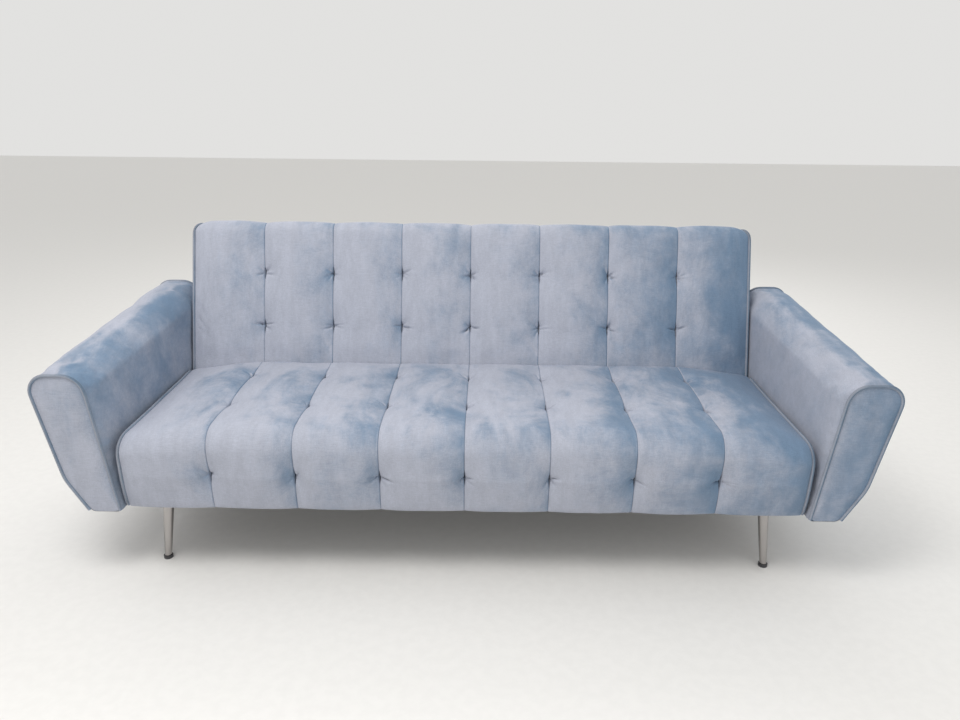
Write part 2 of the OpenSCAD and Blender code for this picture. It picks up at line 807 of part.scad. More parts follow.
module hinge_slot() {
    both() block([seat_plate_x - slot_gap, -hinge_r - slot_gap, -back_tail - past],
        [side_x + slot_gap, back_rear + past, hinge_r + slot_gap]);
}

pocket = 5;             // room left in the foam round the hinge's parts

module back_foam() {
    color("lightyellow") placed() in_back() difference() {
        back_solid(cover_t + fit);
        block([-stile_x - stile_w - fit, frame_y0 - wire - 3 * fit, frame_z0 - fit],
            [stile_x + stile_w + fit, back_rear, frame_z1 + fit]);
        hinge_slot();
        both() {
            block([back_plate_x - fit, -pawl_f - 2 * pawl_eye_r, -hinge_r],
                [side_x + pawl_t + pocket, back_rear, pawl_s + 3 * pawl_eye_r + 2]);
            block([back_plate_x - pin_r - pocket / 2, -ratchet_r - pocket, -hinge_r],
                [side_x + pawl_t + pocket, back_rear, ratchet_r + pocket]);
            block([back_plate_x - fit, plate_mid - strap_w / 2 - pocket / 2, 0],
                [back_plate_x + hinge_t + head_t + past, back_rear, strap_top + pocket / 2]);
        }
    }
}

module back_cover() {
    color("lightsteelblue") placed() in_back() difference() {
        back_solid(0);
        back_solid(cover_t);
        block([-back_w, back_rear - cover_t - fit, -back_tail * 2],
            [back_w, back_rear * 2, back_len * 2]);
        hinge_slot();
    }
}

module back_rear_panel() {
    color("lightsteelblue") placed() in_back() difference() {
        back_solid(0);
        block([-back_w, -back_thick, -back_tail * 2], [back_w, back_rear - cover_t, back_len * 2]);
        hinge_slot();
    }
}

module back_end_panels() {
    color("lightsteelblue") placed() in_back() both()
        along_x(back_w / 2 - pipe_w + fit, pipe_w - 2 * fit)
            polygon(rounded(inset(back_profile(), pipe_w / 2 + fit)));
}

module back_piping(side) {
    color("slategray") placed() in_back() on_side(side) difference() {
        along_x(back_w / 2 - pipe_w + fit, pipe_w - fit) difference() {
            polygon(rounded(inset(back_profile(), -pipe_w / 2)));
            polygon(rounded(inset(back_profile(), pipe_w / 2)));
        }
        block([0, -back_thick, -back_tail * 2], [back_w, back_thick, -back_tail + back_low_r]);
    }
}

front_rail();
middle_rail();
rear_rail();
side_rail(-1);  // side_rail_left
side_rail(1);  // side_rail_right
centre_struts();
corner_blocks();
seat_springs();
seat_foam();
seat_cover();
seat_end_panel(-1);  // seat_end_panel_left
seat_end_panel(1);  // seat_end_panel_right
seat_piping(-1);  // seat_piping_left
seat_piping(1);  // seat_piping_right
rear_apron();
dust_cover();
leg(-1, leg_front_y);  // leg_front_left
leg(1, leg_front_y);  // leg_front_right
leg(-1, leg_rear_y);  // leg_rear_left
leg(1, leg_rear_y);  // leg_rear_right
leg_plates();
leg_screws();
leg_glides();
arm_cover(-1);  // arm_cover_left
arm_cover(1);  // arm_cover_right
arm_foam(-1);  // arm_foam_left
arm_foam(1);  // arm_foam_right
arm_formers(-1);  // arm_formers_left
arm_formers(1);  // arm_formers_right
arm_rails(-1);  // arm_rails_left
arm_rails(1);  // arm_rails_right
arm_front_panel(-1);  // arm_front_panel_left
arm_front_panel(1);  // arm_front_panel_right
arm_rear_panel(-1);  // arm_rear_panel_left
arm_rear_panel(1);  // arm_rear_panel_right
arm_piping(-1);  // arm_piping_left
arm_piping(1);  // arm_piping_right
arm_bolts();
seat_hinge_plate(-1);  // seat_hinge_plate_left
seat_hinge_plate(1);  // seat_hinge_plate_right
hinge_pins();
seat_hinge_bolts();
ratchets();
back_hinge_plate(-1);  // back_hinge_plate_left
back_hinge_plate(1);  // back_hinge_plate_right
back_hinge_bolts();
back_top_rail();
back_bottom_rail();
back_stiles();
back_springs();
back_foam();
back_cover();
back_rear_panel();
back_end_panels();
back_piping(-1);  // back_piping_left
back_piping(1);  // back_piping_right
pawl_pins();
pawl(-1);  // pawl_left
pawl(1);  // pawl_right
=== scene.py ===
"""Velvet click-clack sofa bed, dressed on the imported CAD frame. Metres, +Z up, front is -Y."""
import json
import math

import bpy
import numpy as np
from mathutils import Matrix, Vector


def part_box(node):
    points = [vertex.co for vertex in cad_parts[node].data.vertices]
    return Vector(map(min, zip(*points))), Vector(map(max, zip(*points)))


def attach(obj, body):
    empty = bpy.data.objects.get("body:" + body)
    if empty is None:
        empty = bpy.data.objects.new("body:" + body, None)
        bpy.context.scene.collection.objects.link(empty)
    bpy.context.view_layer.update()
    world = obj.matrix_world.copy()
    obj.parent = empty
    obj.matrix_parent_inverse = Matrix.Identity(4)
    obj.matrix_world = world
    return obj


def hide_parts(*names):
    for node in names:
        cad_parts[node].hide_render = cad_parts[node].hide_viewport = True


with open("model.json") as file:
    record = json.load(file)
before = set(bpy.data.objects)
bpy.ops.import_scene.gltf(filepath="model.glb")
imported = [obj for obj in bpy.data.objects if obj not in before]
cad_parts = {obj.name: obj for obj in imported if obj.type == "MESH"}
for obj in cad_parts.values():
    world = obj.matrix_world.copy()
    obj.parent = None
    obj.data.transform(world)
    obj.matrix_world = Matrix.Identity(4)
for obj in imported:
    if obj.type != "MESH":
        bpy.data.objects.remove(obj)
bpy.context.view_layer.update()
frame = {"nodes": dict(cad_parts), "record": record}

# ---- Driving sizes ----
PITCH = 0.210                    # width of the six inner channels
SEAMS = [PITCH * k for k in range(-3, 4)]
RECLINE = math.radians(17.5)     # lean of the back when it is up
PIPE_R = 0.0042                  # radius of the piping cord
CROWN = 0.011                    # a channel's crown over its CAD face
SEAM = 0.0015                    # a seam over its CAD face
TUFT_ACROSS = 0.014025           # how far across a seam a tuft's pull reaches
TUFT_ALONG = 0.02805             # how far along the seam it reaches
SEAT_TUFTS = [0.0165, 0.0115, 0.0115]   # how deep each row of tufts is, front to rear
BACK_TUFTS = [0.0125, 0.0125]    # the same for the back, low to high
SLIT = 0.0125                    # extra depth of the slit at a tuft
SEAM_GROOVE = 0.0020             # depth of the groove along a seam
CREASE = 0.0036                  # depth of the creases round a tuft
DRAG_WIDTH = 0.006               # half the width of a long soft fold
DRAG = 0.0022                    # and its depth
STEP = 0.0085                    # spacing of a cover's rows
FINE_STEP = 0.0028               # and their spacing at a row of tufts
SWELL_REACH = 0.020              # how far along a channel its swelling evens out
FRAMES = 13                      # length of each cloth simulation
BENDING = 1.5                    # stiffness of the velvet against bending
TURN = 6.28                      # upper end of a random phase
NEAR_SEAM = [0, 0.006, 0.014, 0.026, 0.042, 0.064, 0.093, 0.130, 0.175, 0.228, 0.289, 0.357, 0.428, 0.5]
COLUMNS = 2 * len(NEAR_SEAM) - 2   # columns in one channel
SEED = 7

rng = np.random.default_rng(SEED)
JOINT = next(j for j in frame["record"]["behaviour"]["joints"] if j["name"] == "back_recline")
PIVOT = Vector(JOINT["pos_m"])


# ---- Outlines and meshes ----

def rounded(corners, closed=False, steps=10):
    """An outline through (a, b, radius) corners, each rounded by an arc."""
    n = len(corners)
    out = []
    for i, (a, b, r) in enumerate(corners):
        here = np.array([a, b], float)
        if r <= 0 or (not closed and i in (0, n - 1)):
            out.append(here)
            continue
        before = np.array(corners[i - 1][:2]) - here
        after = np.array(corners[(i + 1) % n][:2]) - here
        before /= np.linalg.norm(before)
        after /= np.linalg.norm(after)
        half = math.acos(float(np.clip(before @ after, -1, 1))) / 2
        mid = before + after
        centre = here + mid / np.linalg.norm(mid) * r / math.sin(half)
        start = here + before * r / math.tan(half) - centre
        end = here + after * r / math.tan(half) - centre
        sweep = math.atan2(start[0] * end[1] - start[1] * end[0], start @ end)
        first = math.atan2(start[1], start[0])
        for k in range(steps + 1):
            angle = first + sweep * k / steps
            out.append(centre + r * np.array([math.cos(angle), math.sin(angle)]))
    return np.array(out)


def distances(p):
    """How far along a row of points each of them lies."""
    return np.concatenate([[0], np.cumsum(np.linalg.norm(np.diff(p, axis=0), axis=1))])


def even(outline, spacing, closed=False):
    """Points spaced evenly along an outline, with their tangents and their distance along it."""
    p = np.array(outline, float)
    if closed:
        p = np.vstack([p, p[:1]])
    s = distances(p)
    n = max(2, int(round(s[-1] / spacing)))
    at = np.linspace(0, s[-1], n + 1)
    q = np.stack([np.interp(at, s, p[:, k]) for k in range(p.shape[1])], axis=1)
    if closed:
        q = q[:-1]
        at = at[:-1]
        t = np.roll(q, -1, axis=0) - np.roll(q, 1, axis=0)
    else:
        t = np.gradient(q, axis=0)
    return q, t / np.linalg.norm(t, axis=1)[:, None], at


def bunched(outline, rows):
    """Points along an outline, STEP apart and FINE_STEP apart near each of rows, with tangents."""
    p = np.array(outline, float)
    s = distances(p)
    fine = np.arange(0, s[-1], 0.0005)
    near = np.zeros_like(fine)
    for row in rows:
        near = np.maximum(near, smoothstep(1.6 - np.abs(fine - row) / 0.018))
    count = np.cumsum(0.0005 / (STEP + (FINE_STEP - STEP) * near))
    n = int(round(count[-1]))
    at = np.interp(np.linspace(0, count[-1], n + 1), count, fine)
    at[0], at[-1] = 0, s[-1]
    q = np.stack([np.interp(at, s, p[:, k]) for k in range(2)], axis=1)
    t = np.gradient(q, at, axis=0)
    return q, t / np.linalg.norm(t, axis=1)[:, None], at


def smoothstep(x):
    x = np.clip(x, 0, 1)
    return x * x * (3 - 2 * x)


def new_object(name, verts, faces, material):
    mesh = bpy.data.meshes.new(name)
    mesh.from_pydata([tuple(v) for v in verts], [], faces)
    mesh.update()
    for polygon in mesh.polygons:
        polygon.use_smooth = True
    obj = bpy.data.objects.new(name, mesh)
    bpy.context.scene.collection.objects.link(obj)
    mesh.materials.append(material)
    return obj


def grid_faces(rows, cols, wrap=False, flip=False, keep=None):
    """Quads of a grid of rows x cols points; wrap joins the last column to the first."""
    faces = []
    for i in range(rows - 1):
        for j in range(cols if wrap else cols - 1):
            if keep is not None and not keep(i, j):
                continue
            k = (j + 1) % cols
            quad = (i * cols + j, i * cols + k, (i + 1) * cols + k, (i + 1) * cols + j)
            faces.append(quad[::-1] if flip else quad)
    return faces


def settle(obj, pinned, pressure, slack, cap=0.012):
    """Cloth simulation: obj fills out from inside, by cap at most, while its pinned points hold."""
    group = obj.vertex_groups.new(name="pinned")
    group.add([int(i) for i in pinned], 1.0, "REPLACE")
    cloth = obj.modifiers.new("Cloth", "CLOTH")
    settings = cloth.settings
    settings.quality = 4
    settings.mass = 0.25
    settings.tension_stiffness = 20
    settings.compression_stiffness = 20
    settings.shear_stiffness = 8
    settings.bending_stiffness = BENDING
    settings.air_damping = 3
    settings.vertex_group_mass = "pinned"
    settings.shrink_min = -slack
    settings.use_pressure = True
    settings.uniform_pressure_force = pressure
    settings.effector_weights.gravity = 0
    cloth.collision_settings.use_collision = False
    cloth.collision_settings.use_self_collision = False
    cloth.point_cache.frame_start = 1
    cloth.point_cache.frame_end = FRAMES
    scene = bpy.context.scene
    for number in range(1, FRAMES + 1):
        scene.frame_set(number)
    moved = obj.evaluated_get(bpy.context.evaluated_depsgraph_get()).to_mesh()
    start = coords(obj)
    end = np.empty(start.size)
    moved.vertices.foreach_get("co", end)
    shift = end.reshape(-1, 3) - start
    length = np.linalg.norm(shift, axis=1)
    shift *= (np.minimum(length, cap) / np.maximum(length, 1e-9))[:, None]
    obj.modifiers.remove(cloth)
    obj.vertex_groups.remove(group)
    scene.frame_set(1)
    set_coords(obj, start + shift)


def coords(obj):
    out = np.empty(len(obj.data.vertices) * 3)
    obj.data.vertices.foreach_get("co", out)
    return out.reshape(-1, 3)


def set_coords(obj, points):
    obj.data.vertices.foreach_set("co", np.asarray(points, float).ravel())
    obj.data.update()


def normals(obj):
    out = np.empty(len(obj.data.vertices) * 3)
    obj.data.vertices.foreach_get("normal", out)
    return out.reshape(-1, 3)


def subdivide(obj, levels=1):
    mod = obj.modifiers.new("Subdivision", "SUBSURF")
    mod.levels = levels
    mod.render_levels = levels


def tube(name, path, radius, material, sides=12):
    """A round cord along an open path of 3-D points."""
    p = np.asarray(path, float)
    t = np.gradient(p, axis=0)
    t /= np.linalg.norm(t, axis=1)[:, None]
    side = np.cross(t[0], [0.0, 0.0, 1.0])
    if np.linalg.norm(side) < 0.1:
        side = np.cross(t[0], [0.0, 1.0, 0.0])
    rings = []
    angles = np.arange(sides) * 2 * math.pi / sides
    for centre, along in zip(p, t):
        side = side - along * (side @ along)
        side /= np.linalg.norm(side)
        up = np.cross(along, side)
        rings.append(centre + radius * (np.outer(np.cos(angles), side) + np.outer(np.sin(angles), up)))
    verts = np.vstack(rings + [p[:1], p[-1:]])
    n = len(p)
    faces = grid_faces(n, sides, wrap=True, flip=True)
    faces += [(n * sides, (j + 1) % sides, j) for j in range(sides)]
    last = (n - 1) * sides
    faces += [(n * sides + 1, last + j, last + (j + 1) % sides) for j in range(sides)]
    return new_object(name, verts, faces, material)


def panel(name, outline, place, dome, material, rings=14):
    """A padded panel that fills a closed outline of (a, b) points; place(a, b, h) puts it in space."""
    o = np.asarray(outline, float)
    centre = (o.min(axis=0) + o.max(axis=0)) / 2
    verts = []
    folds = [(rng.uniform(25, 70), rng.uniform(60, 190), rng.uniform(0, TURN)) for _ in range(6)]

    def point(p, f):
        fold = sum(math.cos(u * p[0] + v * p[1] + w) for u, v, w in folds) / 6
        return place(*p, dome * (1 - f ** 4) + 0.0012 * fold * (1 - f) ** 0.5 * f)

    for k in range(rings):
        f = 1 - (k / rings) ** 1.3
        verts += [point(centre + (p - centre) * f, f) for p in o]
    verts.append(point(centre, 0))
    n = len(o)
    faces = grid_faces(rings, n, wrap=True)
    last = (rings - 1) * n
    faces += [(last + j, last + (j + 1) % n, len(verts) - 1) for j in range(n)]
    obj = new_object(name, verts, faces, material)
    subdivide(obj)
    return obj


# ---- Materials ----

def shader(name):
    material = bpy.data.materials.new(name)
    material.use_nodes = True
    nodes = material.node_tree.nodes
    return material, nodes, material.node_tree.links, nodes["Principled BSDF"]


def node_of(nodes, kind, **values):
    made = nodes.new(kind)
    for key, value in values.items():
        if hasattr(made, key):
            setattr(made, key, value)
        else:
            made.inputs[key.replace("_", " ")].default_value = value
    return made


def ramp(nodes, links, source, stops):
    """A colour ramp from (position, colour) stops; a colour may be a single grey level."""
    made = nodes.new("ShaderNodeValToRGB")
    made.color_ramp.interpolation = "EASE"
    while len(made.color_ramp.elements) < len(stops):
        made.color_ramp.elements.new(0.5)
    for element, (position, colour) in zip(made.color_ramp.elements, stops):
        element.position = position
        rgb = colour if isinstance(colour, tuple) else (colour,) * 3
        element.color = (*rgb, 1)
    links.new(source, made.inputs["Fac"])
    return made.outputs["Color"]


def blend_rgb(nodes, links, kind, factor, a, b):
    made = nodes.new("ShaderNodeMix")
    made.data_type = "RGBA"
    made.blend_type = kind
    for socket, value in ((made.inputs[0], factor), (made.inputs[6], a), (made.inputs[7], b)):
        if isinstance(value, (int, float)):
            socket.default_value = value
        elif isinstance(value, tuple):
            socket.default_value = (*value, 1)
        else:
            links.new(value, socket)
    return made.outputs[2]


def placed_at(nodes, links, scale):
    """Object coordinates, scaled along each axis."""
    where = nodes.new("ShaderNodeTexCoord").outputs["Object"]
    mapping = nodes.new("ShaderNodeMapping")
    mapping.inputs["Scale"].default_value = scale
    links.new(where, mapping.inputs["Vector"])
    return mapping.outputs["Vector"]


def noise(nodes, links, scale, detail=4.0, rough=0.55, distort=0.0, stretch=(1, 1, 1)):
    made = node_of(nodes, "ShaderNodeTexNoise", Scale=scale, Detail=detail, Roughness=rough,
                   Distortion=distort)
    links.new(placed_at(nodes, links, stretch), made.inputs["Vector"])
    return made.outputs["Fac"]


# The velvet's lit tone and its shaded tone: painted shade mixes them, and so do random patches of the
# pile.
LIT_AND_LIGHT_PILE = (0.395, 0.415, 0.485)
SHADED_AND_DEEP_PILE = (0.150, 0.222, 0.320)


def maths(nodes, links, kind, *values):
    made = nodes.new("ShaderNodeMath")
    made.operation = kind
    for socket, value in zip(made.inputs, values):
        if isinstance(value, (int, float)):
            socket.default_value = value
        else:
            links.new(value, socket)
    return made.outputs[0]


def velvet(name, light=LIT_AND_LIGHT_PILE, dark=SHADED_AND_DEEP_PILE):
    """Short-pile velvet. Painted shade: a face that leans right is darker, as if lit from the left, and
    the colour darkens towards +X as the light falls off. Brushed patches, rubbed marks on the upper
    faces, strokes, a woven ground, sheen, a fine pile and painted shade in hollows go over it."""
    material, nodes, links, bsdf = shader(name)
    lean = nodes.new("ShaderNodeSeparateXYZ")
    links.new(nodes.new("ShaderNodeNewGeometry").outputs["Normal"], lean.inputs[0])
    across = nodes.new("ShaderNodeSeparateXYZ")
    links.new(placed_at(nodes, links, (1, 1, 1)), across.inputs[0])
    # Painted shade: the colour darkens from left to right (+X), for the fall-off of the light across the
    # sofa.
    falloff_shade = node_of(nodes, "ShaderNodeMapRange", interpolation_type="SMOOTHSTEP")
    for socket, value in zip(("From Min", "From Max", "To Min", "To Max"), (-0.05, 1.05, 0.06, 0.62)):
        falloff_shade.inputs[socket].default_value = value
    links.new(across.outputs["X"], falloff_shade.inputs["Value"])
    patches = noise(nodes, links, 4.5, detail=6, rough=0.7, distort=0.35)
    small = noise(nodes, links, 19, detail=5, rough=0.7, distort=0.6, stretch=(1.0, 0.6, 0.6))
    pile = noise(nodes, links, 850, detail=2)
    weft = noise(nodes, links, 620, detail=1, stretch=(0.08, 1, 1))
    warp = noise(nodes, links, 620, detail=1, stretch=(1, 0.12, 0.12))
    strokes = noise(nodes, links, 42, detail=4, rough=0.7, stretch=(1.0, 0.25, 0.25))
    # Painted shade: faces whose normal leans right (+X) are darkened, as if lit from the left.
    right_lean_shade = maths(nodes, links, "MAXIMUM", lean.outputs["X"], -0.45)
    right_lean_shade = maths(nodes, links, "MINIMUM", right_lean_shade, 0.45)
    nap_and_painted_shade = maths(nodes, links, "MULTIPLY_ADD", right_lean_shade, 1.05, falloff_shade.outputs["Result"])
    blotch = noise(nodes, links, 8, detail=5, rough=0.6, distort=0.9, stretch=(1.0, 0.5, 0.5))
    rubbed = maths(nodes, links, "MULTIPLY_ADD", blotch, 1.9, -0.79)
    top_side = maths(nodes, links, "MAXIMUM", lean.outputs["Z"], 0.0)
    rubbed = maths(nodes, links, "MULTIPLY", rubbed, top_side)
    nap_and_painted_shade = maths(nodes, links, "ADD", nap_and_painted_shade, rubbed)
    soft = maths(nodes, links, "MULTIPLY_ADD", patches, 1.45, -0.70)
    fine = maths(nodes, links, "MULTIPLY_ADD", small, 0.55, -0.275)
    nap_and_painted_shade = maths(nodes, links, "ADD", nap_and_painted_shade, soft)
    nap_and_painted_shade = maths(nodes, links, "ADD", nap_and_painted_shade, fine)
    nap_and_painted_shade = ramp(nodes, links, nap_and_painted_shade, [(0.0, 0.0), (1.0, 1.0)])
    colour = blend_rgb(nodes, links, "MIX", nap_and_painted_shade, light, dark)
    # Painted shade: concave hollows such as seams, tuft slits and creases are darkened in the colour.
    hollow = nodes.new("ShaderNodeNewGeometry").outputs["Pointiness"]
    shade = ramp(nodes, links, hollow, [(0.42, 0.40), (0.49, 1.0)])
    colour = blend_rgb(nodes, links, "MULTIPLY", 1.0, colour, shade)
    for source, low, high in ((strokes, 0.94, 1.05), (pile, 0.90, 1.07), (weft, 0.95, 1.04),
                              (warp, 0.97, 1.02)):
        grain = ramp(nodes, links, source, [(0.28, low), (0.72, high)])
        colour = blend_rgb(nodes, links, "MULTIPLY", 1.0, colour, grain)
    links.new(colour, bsdf.inputs["Base Color"])
    links.new(ramp(nodes, links, strokes, [(0.2, 0.74), (0.8, 0.90)]), bsdf.inputs["Roughness"])
    bsdf.inputs["Specular IOR Level"].default_value = 0.15
    bsdf.inputs["Sheen Weight"].default_value = 0.22
    bsdf.inputs["Sheen Roughness"].default_value = 0.42
    bsdf.inputs["Sheen Tint"].default_value = (0.88, 0.90, 1.0, 1)
    normal = None
    for height, strength, distance in ((pile, 0.25, 0.0008), (weft, 0.18, 0.0005), (warp, 0.15, 0.0005),
                                       (strokes, 0.30, 0.0020), (small, 0.25, 0.0040)):
        bump = node_of(nodes, "ShaderNodeBump", Strength=strength, Distance=distance)
        links.new(height, bump.inputs["Height"])
        if normal is not None:
            links.new(normal, bump.inputs["Normal"])
        normal = bump.outputs["Normal"]
    links.new(normal, bsdf.inputs["Normal"])
    return material


def wood(name, light, dark, scale=9.0):
    material, nodes, links, bsdf = shader(name)
    rings = noise(nodes, links, scale, detail=6, rough=0.65, distort=1.6, stretch=(0.25, 2.2, 2.2))
    fibre = noise(nodes, links, 160, detail=2, stretch=(0.1, 1, 1))
    colour = ramp(nodes, links, rings, [(0.35, light), (0.52, dark), (0.68, light)])
    grain = ramp(nodes, links, fibre, [(0.2, 0.85), (0.8, 1.08)])
    links.new(blend_rgb(nodes, links, "MULTIPLY", 1.0, colour, grain), bsdf.inputs["Base Color"])
    bsdf.inputs["Roughness"].default_value = 0.68
    bump = node_of(nodes, "ShaderNodeBump", Strength=0.3, Distance=0.0006)
    links.new(fibre, bump.inputs["Height"])
    links.new(bump.outputs["Normal"], bsdf.inputs["Normal"])
    return material


def metal(name, colour, low, high, stretch=(1, 1, 1), scale=60.0):
    """Bare metal with smears in its polish and faint scratches."""
    material, nodes, links, bsdf = shader(name)
    smear = noise(nodes, links, scale, detail=5, rough=0.6, stretch=stretch)
    links.new(ramp(nodes, links, smear, [(0.3, low), (0.75, high)]), bsdf.inputs["Roughness"])
    tint = ramp(nodes, links, smear, [(0.2, tuple(c * 0.90 for c in colour)), (0.8, colour)])
    links.new(tint, bsdf.inputs["Base Color"])
    bsdf.inputs["Metallic"].default_value = 1.0
    bump = node_of(nodes, "ShaderNodeBump", Strength=0.1, Distance=0.0003)
    links.new(smear, bump.inputs["Height"])
    links.new(bump.outputs["Normal"], bsdf.inputs["Normal"])
    return material


def plain(name, colour, rough, grain_scale, contrast=0.15, strength=0.3):
    """Plastic, foam or non-woven cloth: a grained, slightly uneven surface."""
    material, nodes, links, bsdf = shader(name)
    speck = noise(nodes, links, grain_scale, detail=4)
    low = tuple(c * (1 - contrast) for c in colour)
    links.new(ramp(nodes, links, speck, [(0.3, low), (0.7, colour)]), bsdf.inputs["Base Color"])
    links.new(ramp(nodes, links, speck, [(0.2, rough - 0.06), (0.8, rough + 0.06)]),
              bsdf.inputs["Roughness"])
    bump = node_of(nodes, "ShaderNodeBump", Strength=strength, Distance=0.0008)
    links.new(speck, bump.inputs["Height"])
    links.new(bump.outputs["Normal"], bsdf.inputs["Normal"])
    return material


VELVET = velvet("velvet")
# The piping's lit and shaded tones, mixed by the same painted shade as the velvet.
PIPING = velvet("velvet_piping", light=(0.385, 0.415, 0.485), dark=(0.165, 0.240, 0.335))
SLOT_MATERIALS = {
    "fabric": VELVET,
    "fabric_piping": PIPING,
    "foam": plain("foam", (0.86, 0.80, 0.60), 0.9, 220),
    "wood": wood("pine", (0.62, 0.44, 0.25), (0.47, 0.30, 0.15)),
    "plywood": wood("birch_plywood", (0.66, 0.50, 0.31), (0.55, 0.39, 0.22), scale=5.0),
    "spring_steel": metal("spring_steel", (0.22, 0.22, 0.23), 0.35, 0.55),
    "plate_steel": metal("plate_steel", (0.60, 0.60, 0.58), 0.28, 0.48, scale=35),
    "fastener": metal("fastener", (0.50, 0.50, 0.50), 0.30, 0.45),
    # Painted reflection: the chrome's colour is darker and warmer than bare chrome, standing in for the
    # reflection of a dark floor.
    "chrome": metal("chrome", (0.46, 0.44, 0.43), 0.04, 0.11, stretch=(1, 1, 0.15), scale=40),
    "glide": plain("glide", (0.045, 0.045, 0.05), 0.45, 500),
    "dust_cloth": plain("dust_cloth", (0.022, 0.022, 0.024), 0.92, 700, contrast=0.4),
}
slot_of = {part["node"]: part["material_slot"] for part in frame["record"]["subparts"]}
for name, obj in frame["nodes"].items():
    for material_slot in obj.material_slots:
        material_slot.material = SLOT_MATERIALS[slot_of[name]]


# ---- Channelled covers ----

def seam_columns(half):
    """Positions across a cover: close together at each seam and at the ends, wider between."""
    edges = [-half] + SEAMS + [half]
    side = np.array(NEAR_SEAM)
    spread = np.concatenate([side, 1 - side[-2::-1]])
    parts = [a + (b - a) * spread[:-1] for a, b in zip(edges[:-1], edges[1:])]
    return np.concatenate(parts + [[half]])


def lift(xs, along, rows, crown, seam, tuft_depth, soft):
    """Height of a channelled cover over its CAD face, for every row (along) and column (xs)."""
    edges = np.array([xs[0]] + SEAMS + [xs[-1]])
    k = np.clip(np.searchsorted(edges, xs, side="right") - 1, 0, len(edges) - 2)
    xi = (xs - edges[k]) / (edges[k + 1] - edges[k])
    arch = 1 - np.abs(2 * xi - 1) ** 3.2
    out = seam + (crown - seam) * arch[None, :] * soft[:, None]
    for row, depth in zip(rows, tuft_depth):
        for x in SEAMS:
            dx = (xs - x)[None, :] / TUFT_ACROSS
            dv = (along - row)[:, None] / TUFT_ALONG
            out -= depth * np.exp(-np.sqrt(dx ** 2 + dv ** 2 + 0.02))
    return out


def crease(xs, along, start, angle, length, width, depth):
    """One fold line: a valley that runs out of a point at an angle, between two soft ridges."""
    dx = xs[None, :] - start[0]
    dv = along[:, None] - start[1]
    out = dx * math.cos(angle) + dv * math.sin(angle)
    aside = np.abs(dv * math.cos(angle) - dx * math.sin(angle)) / (width * (0.7 + 0.6 * out / length))
    window = smoothstep(out / 0.004) * smoothstep((length - out) / (0.6 * length))
    return -depth * window * np.exp(-aside ** 2) * (1 - 0.4 * np.minimum(aside, 3) ** 2)


def creases(xs, along, rows, strength):
    """Short folds that fan out of each tuft, more of them to one side."""
    out = np.zeros((len(along), len(xs)))
    for row in rows:
        for x in SEAMS:
            for _ in range(int(rng.integers(6, 9))):
                side = 0 if rng.uniform() < 0.66 else math.pi
                angle = side + rng.uniform(-1.15, 1.15)
                out += crease(xs, along, (x, row + rng.uniform(-0.003, 0.003)), angle,
                              rng.uniform(0.020, 0.046), rng.uniform(0.0024, 0.0040),
                              strength * rng.uniform(0.5, 1.2))
    return out


def waves(along, xs, size, height):
    """Gentle unevenness of stuffed cloth, as a sum of a few fixed random waves."""
    out = np.zeros((len(along), len(xs)))
    for _ in range(14):
        a = rng.uniform(0, math.pi)
        f = 2 * math.pi / (size * rng.uniform(0.6, 1.8))
        phase = rng.uniform(0, 2 * math.pi)
        out += np.cos(f * (math.cos(a) * xs[None, :] + math.sin(a) * along[:, None]) + phase)
    return out * height / 5


